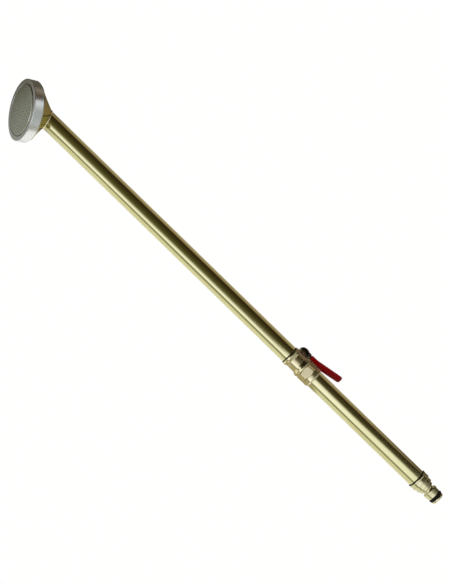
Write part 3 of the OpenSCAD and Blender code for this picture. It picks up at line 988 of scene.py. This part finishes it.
# ---------------------------------------------------------------- floor
FLOOR_HALF = 6
FLOOR_SEEN = (1.0, 1.0, 0.995)
FLOOR_GLOW = 0.10
BLACK = (0.0, 0.0, 0.0)

# What the metal mirrors in the floor. Near is the -Y side, where the camera stands. These tones are painted shadow
# and painted shade: the valve's and the rose's shadows, and a darker far side, ends and distance.
NEAR_TONE = (0.80, 0.80, 0.78)
# Painted shadow of the valve and lever
VALVE_SHADOW_TONE = (0.40, 0.37, 0.26)
NEAR_ROSE_TONE = (0.30, 0.30, 0.29)
FRONT_TONE = (0.34, 0.34, 0.27)
FAR_TONE = (0.46, 0.39, 0.30)
# Painted shadow of the rose
ROSE_SHADOW_TONE = (0.10, 0.09, 0.06)
FAR_HOSE_TONE = (0.12, 0.095, 0.055)

# Bands over which one tone turns into the next, in metres along X or Y of the row frame
NEAR_TO_FAR_Y = (0.0, 0.05)
NEAR_TO_FAR_SHIFT = 0.03  # towards -Y, at the rose's end
FAR_ROSE_X = (-0.24, -0.31)
FAR_HOSE_X = (0.17, 0.29)
VALVE_SHADE_X = ((0.092, 0.104), (0.148, 0.134))
NEAR_ROSE_X = (-0.245, -0.30)
FRONT_Y = (-0.07, -0.15)
FRONT_SHIFT_X = (-0.03, -0.24)
FRONT_SHIFT = 0.17  # towards -Y, at the rose's end


def floor_tone(graph):
    """The floor's tones: pale near the camera, darker at the far side and at both ends, with painted shadows of
    the valve and the rose; only the metal's reflections show them.
    """
    x, y, _ = graph.split(graph.add("TexCoord").outputs["Object"])
    corner = graph.step(x, FAR_ROSE_X)
    far = graph.mix(corner, FAR_TONE, ROSE_SHADOW_TONE)
    far = graph.mix(graph.step(x, FAR_HOSE_X), far, FAR_HOSE_TONE)
    start, end = VALVE_SHADE_X
    shade = graph.product(graph.step(x, start), graph.step(x, end))
    near = graph.mix(shade, NEAR_TONE, VALVE_SHADOW_TONE)
    near = graph.mix(graph.step(x, NEAR_ROSE_X), near, NEAR_ROSE_TONE)
    side = graph.step(graph.total(y, graph.product(corner, NEAR_TO_FAR_SHIFT)), NEAR_TO_FAR_Y)
    shift = graph.product(graph.step(x, FRONT_SHIFT_X), FRONT_SHIFT)
    front = graph.step(graph.total(y, shift), FRONT_Y)
    return graph.mix(front, graph.mix(side, near, far), FRONT_TONE)


def make_floor():
    """A floor which the camera sees as plain white, with no shadow on it. What the metal mirrors in it is
    floor_tone(), with its painted shadows and shade, and a faint painted glow.
    """
    far, near = FLOOR_HALF, -FLOOR_HALF
    mesh = bpy.data.meshes.new("floor")
    corners = [(near, near, 0), (far, near, 0), (far, far, 0), (near, far, 0)]
    mesh.from_pydata(corners, [], [(0, 1, 2, 3)])
    material, graph, surface = shader("pale_floor")
    surface.inputs["Roughness"].default_value = 1
    surface.inputs["Specular IOR Level"].default_value = 0
    tone = floor_tone(graph)
    camera_ray = graph.add("LightPath").outputs["Is Camera Ray"]
    graph.put(surface.inputs["Base Color"], graph.mix(camera_ray, tone, BLACK))
    glow = graph.mix(camera_ray, graph.scaled(tone, FLOOR_GLOW), FLOOR_SEEN)
    graph.put(surface.inputs["Emission Color"], glow)
    surface.inputs["Emission Strength"].default_value = 1
    mesh.materials.append(material)
    link("floor", mesh)


# ---------------------------------------------------------------- light
TABLE_LIGHT_WATTS = 23
TABLE_LIGHT_SIZE = (1.5, 0.6)
TABLE_LIGHT_PLACE = (0, -0.35, 1.5)
TABLE_LIGHT_TILT = math.radians(13)


def make_table_light():
    """A wide soft light for the floor and the vinyl, which the polished metal doesn't mirror."""
    data = bpy.data.lights.new("table_light", "AREA")
    data.shape = "RECTANGLE"
    data.size, data.size_y = TABLE_LIGHT_SIZE
    data.energy = TABLE_LIGHT_WATTS
    light = link("table_light", data)
    light.location = TABLE_LIGHT_PLACE
    light.rotation_euler = (TABLE_LIGHT_TILT, 0, 0)
    light.visible_glossy = False
    light.visible_camera = False


# The dim room, by degrees of climb from the -Y horizon over the top to the +Y horizon
ROOM = (
    (0, (0.38, 0.38, 0.31)), (55, (0.26, 0.25, 0.18)), (69, (0.165, 0.15, 0.075)),
    (80, (0.115, 0.10, 0.04)), (97, (0.083, 0.073, 0.03)), (120, (0.053, 0.042, 0.022)),
    (142, (0.045, 0.026, 0.008)), (152, (0.13, 0.085, 0.045)), (162, (0.42, 0.36, 0.28)),
    (180, (0.50, 0.43, 0.34)),
)
# The soft panel's colour, by how far it lies towards +X
PANEL = (
    (-1.0, (1.5, 1.5, 1.5)), (-0.25, (1.5, 1.54, 1.9)), (0.14, (1.5, 1.54, 1.9)),
    (0.28, (1.15, 1.17, 1.2)), (0.42, (0.80, 0.82, 0.83)), (0.65, (0.42, 0.44, 0.43)),
    (0.88, (0.45, 0.48, 0.47)), (1.0, (0.70, 0.72, 0.70)),
)
GREATEST = 2.5  # the brightest that a ramp's colour may be

# The panel's edges, in degrees of climb, and how many degrees it widens by towards +X
PANEL_LOW_EDGE = (7, 20)
PANEL_TOP_EDGE = (60, 27)
WIDENING, WIDENING_X = 36.0, (0.06, 0.20)
TAB, TAB_X = 20.0, ((0.080, 0.092), (0.128, 0.116))
OVERHEAD, OVERHEAD_X = 75.0, (0.228, 0.252)
# The room is dimmer towards the rose's end, and low on the far side towards the hose's end
ROSE_END_X = (-0.30, -0.14)
ROSE_END_LIGHT = 0.3
LOW_FAR_CLIMB, LOW_FAR_X = (140, 152), (0.14, 0.215)
LOW_FAR_LOSS = 0.85


def colour_ramp(graph, value, stops):
    """Colours, which may be brighter than 1, by a value from the first stop to the last."""
    low, high = stops[0][0], stops[-1][0]
    ramp = graph.add("ValToRGB")
    graph.put(ramp.inputs["Fac"], graph.map_range(value, low, high))
    elements = ramp.color_ramp.elements
    while len(elements) > 1:
        elements.remove(elements[-1])
    for k, (where, colour) in enumerate(stops):
        position = (where - low) / (high - low)
        stop = elements[0] if k == 0 else elements.new(position)
        stop.position = position
        stop.color = (*(c / GREATEST for c in colour), 1)
    return graph.scaled(ramp.outputs["Color"], GREATEST)


def room_light(graph, toward_x, climb):
    """The dim warm room that the metal mirrors behind and above the panel."""
    low_far = graph.product(graph.step(climb, LOW_FAR_CLIMB), graph.step(toward_x, LOW_FAR_X))
    low_far = graph.maths("SUBTRACT", 1.0, graph.product(low_far, LOW_FAR_LOSS))
    rose_end = graph.map_range(toward_x, *ROSE_END_X, ROSE_END_LIGHT, 1.0)
    return graph.scaled(colour_ramp(graph, climb, ROOM), graph.product(rose_end, low_far))


def panel_shape(graph, toward_x, climb):
    """1 inside the long soft panel and 0 outside it."""
    tab_start, tab_end = TAB_X
    tab = graph.product(graph.step(toward_x, tab_start), graph.step(toward_x, tab_end))
    widening = graph.product(graph.step(toward_x, WIDENING_X), WIDENING)
    widening = graph.total(widening, graph.product(tab, TAB))
    overhead = graph.product(graph.step(toward_x, OVERHEAD_X), OVERHEAD)
    past = graph.maths("SUBTRACT", climb, graph.total(widening, overhead))
    return graph.product(graph.step(climb, PANEL_LOW_EDGE), graph.step(past, PANEL_TOP_EDGE))


def make_world():
    """A long soft panel low on the -Y side, which widens overhead towards +X, in a dim room."""
    world = bpy.data.worlds.new("studio")
    world.use_nodes = True
    world.node_tree.nodes.clear()
    graph = Graph(world.node_tree)
    toward_x, toward_y, toward_z = graph.split(graph.add("TexCoord").outputs["Generated"])
    toward_you = graph.product(toward_y, -1.0)
    climb = graph.maths("DEGREES", graph.maths("ARCTAN2", toward_z, toward_you))
    room = room_light(graph, toward_x, climb)
    panel = panel_shape(graph, toward_x, climb)
    colour = graph.mix(panel, room, colour_ramp(graph, toward_x, PANEL))

    mirrored, seen = graph.add("Background"), graph.add("Background")
    graph.put(mirrored.inputs["Color"], colour)
    seen.inputs["Color"].default_value = (1, 1, 1, 1)
    choose = graph.add("MixShader")
    graph.put(choose.inputs["Fac"], graph.add("LightPath").outputs["Is Camera Ray"])
    graph.put(choose.inputs[1], mirrored.outputs["Background"])
    graph.put(choose.inputs[2], seen.outputs["Background"])
    output = graph.add("OutputWorld")
    graph.put(output.inputs["Surface"], choose.outputs["Shader"])
    bpy.context.scene.world = world


build_pieces()
finish_nodes()
make_floor()
make_table_light()
make_world()
make_camera()
# Plain display colours, so that the pale floor stays white
bpy.context.scene.view_settings.view_transform = "Standard"
